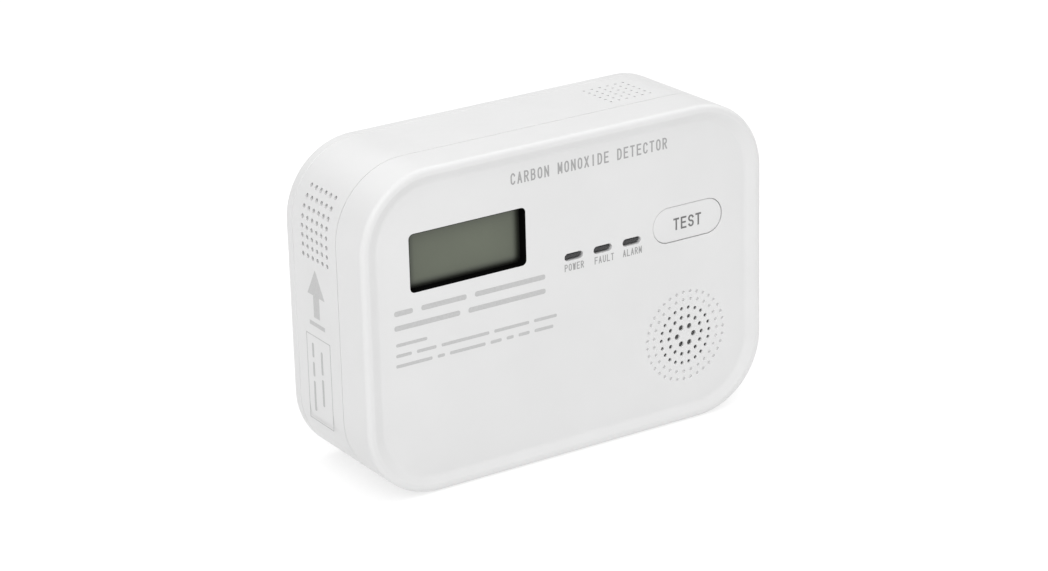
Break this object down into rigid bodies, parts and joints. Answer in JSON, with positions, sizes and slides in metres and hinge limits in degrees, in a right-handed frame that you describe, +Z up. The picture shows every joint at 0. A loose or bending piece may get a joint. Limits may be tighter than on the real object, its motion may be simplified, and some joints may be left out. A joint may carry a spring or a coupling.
{
  "type": "carbon monoxide detector",
  "caption": "Box-shaped carbon monoxide detector with recessed display, indicator slots, obround test button, round sounder grille, vents, rear battery door and wall plate.",
  "frame": {"origin": "middle of the bounding box at the bottom face", "axes": "+X to the right across the front, +Y from the front to the rear wall plate, +Z up"},
  "size_m": [0.12, 0.0384, 0.0852],
  "materials": {
    "bezel_black": "matt black",
    "board_green": "solder mask on glass fibre",
    "button_white": "smooth satin white",
    "can_metal": "bright can",
    "capacitor_sleeve": "shrink sleeve",
    "casing_white": "fine satin white ABS",
    "casing_white_door": "fine satin white ABS",
    "casing_white_plate": "fine satin white ABS",
    "casing_white_rear": "fine satin white ABS",
    "cell_jacket": "plain printed sleeve",
    "ceramic": "silvered ceramic",
    "chip_black": "moulded black",
    "chip_ceramic": "ceramic chips",
    "coil_dark": "ferrite with copper winding",
    "contact_nickel": "nickel plated",
    "display_glass": "grey-green liquid crystal glass with matt polariser",
    "display_glass_rear": "glass",
    "display_reflector": "satin foil",
    "dust_cloth": "fine dark woven mesh",
    "elastomer": "striped grey elastomer",
    "foam": "open cell foam",
    "holder_plastic": "moulded white",
    "lead_black": "PVC insulation",
    "lead_red": "PVC insulation",
    "led_package": "white package with clear lens",
    "light_guide": "clear acrylic",
    "piezo_brass": "bare brass",
    "pin_brass": "plated",
    "screw_steel": "zinc plated",
    "sensor_cap": "pressed stainless cap",
    "sensor_plastic": "moulded off-white",
    "shroud_black": "matt black",
    "sounder_plastic": "moulded black",
    "switch_black": "moulded black",
    "switch_plunger": "moulded red-brown"
  },
  "bodies": {
    "case": {"front_cover": "casing_white", "rear_case": "casing_white_rear", "switch_body": "switch_black", "lcd_bezel": "bezel_black", "lcd_front_glass": "display_glass", "lcd_rear_glass": "display_glass_rear", "lcd_reflector": "display_reflector", "lcd_holder": "holder_plastic", "lcd_connectors": "elastomer", "light_shroud": "shroud_black", "light_guide_power": "light_guide", "light_guide_fault": "light_guide", "light_guide_alarm": "light_guide", "led_power": "led_package", "led_fault": "led_package", "led_alarm": "led_package", "grille_cloth": "dust_cloth", "sounder_gasket": "foam", "sounder_housing": "sounder_plastic", "piezo_disc": "piezo_brass", "piezo_ceramic": "ceramic", "sounder_leads": "lead_black", "main_board": "board_green", "board_screws": "screw_steel", "microcontroller": "chip_black", "crystal": "can_metal", "boost_coil": "coil_dark", "reservoir_capacitor": "capacitor_sleeve", "chip_components": "chip_ceramic", "co_sensor_body": "sensor_plastic", "co_sensor_cap": "sensor_cap", "co_sensor_pins": "pin_brass", "side_dust_screen": "dust_cloth", "top_dust_screen": "dust_cloth", "battery_cell_top": "cell_jacket", "battery_cell_middle": "cell_jacket", "battery_cell_bottom": "cell_jacket", "contact_plates": "contact_nickel", "contact_springs": "contact_nickel", "battery_lead_red": "lead_red", "battery_lead_black": "lead_black", "case_screws": "screw_steel"},
    "door": {"battery_door": "casing_white_door"},
    "button": {"test_button": "button_white"},
    "plunger": {"switch_plunger": "switch_plunger"},
    "plate": {"mounting_plate": "casing_white_plate"}
  },
  "joints": [
    {"name": "test_button_press", "type": "slide", "parent": "case", "child": "button", "axis": [0, 1, 0], "range_m": [0, 0.0006], "stiffness_N_per_m": 2500, "springref_m": -0.0002},
    {"name": "switch_plunger_press", "type": "slide", "parent": "case", "child": "plunger", "axis": [0, 1, 0], "range_m": [0, 0.0006]},
    {"name": "battery_door_hinge", "type": "hinge", "parent": "case", "child": "door", "pos_m": [-0.0155, 0.01435, 0.0508], "axis": [1, 0, 0], "range_deg": [0, 90]},
    {"name": "plate_slide", "type": "slide", "parent": "case", "child": "plate", "axis": [0, 0, -1], "range_m": [0, 0.008]}
  ],
  "couplings": [
    {"joint": "switch_plunger_press", "follows": "test_button_press", "ratio": 1}
  ]
}
